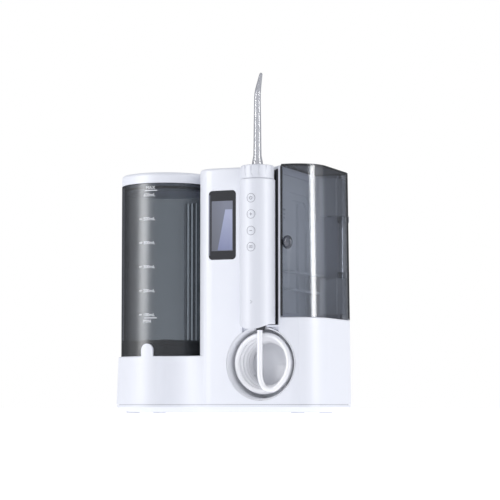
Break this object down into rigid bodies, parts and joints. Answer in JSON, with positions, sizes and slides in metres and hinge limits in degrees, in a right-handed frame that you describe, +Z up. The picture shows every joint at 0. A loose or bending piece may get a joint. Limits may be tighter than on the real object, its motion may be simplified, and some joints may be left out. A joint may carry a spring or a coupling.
{
  "type": "water flosser",
  "caption": "Countertop water flosser with a lift-off tank, a docked handset on a coiled hose, a display, and a hinged tinted nozzle store.",
  "frame": {"origin": "under the middle of the object's footprint, on the surface that its feet rest on", "axes": "+X to the right, from tank to nozzle store; +Y to the back; +Z up"},
  "size_m": [0.2064, 0.1114, 0.295],
  "materials": {
    "white_shell": "smooth satin white moulded plastic",
    "store_grey": "fine matt light grey moulding",
    "smoke_clear": "clear polished smoke-tinted plastic",
    "black_gloss": "polished black",
    "rubber_dark": "matt dark rubber",
    "rubber_light": "matt pale grey rubber",
    "steel": "plain bright steel",
    "brass": "machined brass",
    "circuit_board": "green circuit board",
    "nylon": "natural nylon",
    "clear_plastic": "translucent grey plastic",
    "hose_white": "smooth flexible white hose"
  },
  "bodies": {
    "root": {"housing": "white_shell", "bottom_plate": "white_shell", "foot_front_left": "rubber_light", "foot_rear_left": "rubber_light", "foot_front_right": "rubber_light", "foot_rear_right": "rubber_light", "base_screw_1": "steel", "base_screw_2": "steel", "base_screw_3": "steel", "base_screw_4": "steel", "rear_cover": "white_shell", "rear_screw_1": "steel", "rear_screw_2": "steel", "display_window": "black_gloss", "display_module": "circuit_board", "store_liner": "store_grey", "tip_rack_upper": "store_grey", "tip_rack_lower": "store_grey", "hinge_block_lower": "store_grey", "hinge_block_upper": "store_grey", "hinge_rod": "steel", "cradle_pad": "rubber_dark", "hose_bay_cup": "white_shell", "hose_fitting": "nylon", "hose_coil": "hose_white", "hose_drop": "hose_white", "gear_axle": "steel", "pump_frame": "steel", "motor": "steel", "connecting_rod": "nylon", "wrist_pin": "steel", "piston": "nylon", "pump_cylinder": "nylon", "check_valve_block": "nylon", "inlet_pipe": "clear_plastic", "outlet_pipe": "clear_plastic", "tank_socket": "white_shell", "main_board": "circuit_board", "power_board": "circuit_board", "power_inlet": "black_gloss"},
    "door": {"store_door": "smoke_clear"},
    "crank": {"crank_gear": "nylon"},
    "pinion": {"motor_pinion": "brass"},
    "tank": {"tank_body": "smoke_clear", "valve_spring": "steel"},
    "lid": {"tank_lid": "white_shell", "lid_seal": "rubber_dark"},
    "valve": {"outlet_valve": "rubber_dark"},
    "handset": {"handset_body": "white_shell", "hose_gland": "rubber_dark", "water_tube": "clear_plastic", "button_board": "circuit_board"},
    "collar": {"collar": "white_shell"},
    "nozzle": {"nozzle": "clear_plastic", "nozzle_seal": "rubber_dark"},
    "button_power": {"button_power": "white_shell"},
    "button_plus": {"button_plus": "white_shell"},
    "button_minus": {"button_minus": "white_shell"},
    "button_mode": {"button_mode": "white_shell"}
  },
  "joints": [
    {"name": "door_hinge", "type": "hinge", "parent": "root", "child": "door", "pos_m": [0.09525, 0.04765, 0.148], "axis": [0, 0, 1], "range_deg": [0, 90]},
    {"name": "tank_lift", "type": "slide", "parent": "root", "child": "tank", "axis": [0, 0, 1], "range_m": [0, 0.06]},
    {"name": "lid_lift", "type": "slide", "parent": "tank", "child": "lid", "axis": [0, 0, 1], "range_m": [0, 0.03]},
    {"name": "valve_press", "type": "slide", "parent": "tank", "child": "valve", "axis": [0, 0, 1], "range_m": [0, 0.002], "stiffness_N_per_m": 200, "deforming": ["valve_spring"]},
    {"name": "handset_undock", "type": "slide", "parent": "root", "child": "handset", "axis": [0, -1, 0], "range_m": [0, 0.05]},
    {"name": "collar_turn", "type": "hinge", "parent": "handset", "child": "collar", "pos_m": [0.04975, -0.04035, 0.205], "axis": [0, 0, 1], "continuous": true},
    {"name": "nozzle_pull", "type": "slide", "parent": "collar", "child": "nozzle", "axis": [0, 0, 1], "range_m": [0, 0.012]},
    {"name": "crank_turn", "type": "hinge", "parent": "root", "child": "crank", "pos_m": [0.02775, 0.01215, 0.036], "axis": [0, 1, 0], "continuous": true},
    {"name": "pinion_turn", "type": "hinge", "parent": "root", "child": "pinion", "pos_m": [0.05175, 0.01215, 0.036], "axis": [0, 1, 0], "continuous": true},
    {"name": "power_press", "type": "slide", "parent": "handset", "child": "button_power", "axis": [0, 1, 0], "range_m": [0, 0.0008], "stiffness_N_per_m": 500},
    {"name": "plus_press", "type": "slide", "parent": "handset", "child": "button_plus", "axis": [0, 1, 0], "range_m": [0, 0.0008], "stiffness_N_per_m": 500},
    {"name": "minus_press", "type": "slide", "parent": "handset", "child": "button_minus", "axis": [0, 1, 0], "range_m": [0, 0.0008], "stiffness_N_per_m": 500},
    {"name": "mode_press", "type": "slide", "parent": "handset", "child": "button_mode", "axis": [0, 1, 0], "range_m": [0, 0.0008], "stiffness_N_per_m": 500}
  ],
  "couplings": [
    {"joint": "pinion_turn", "follows": "crank_turn", "ratio": -4}
  ]
}
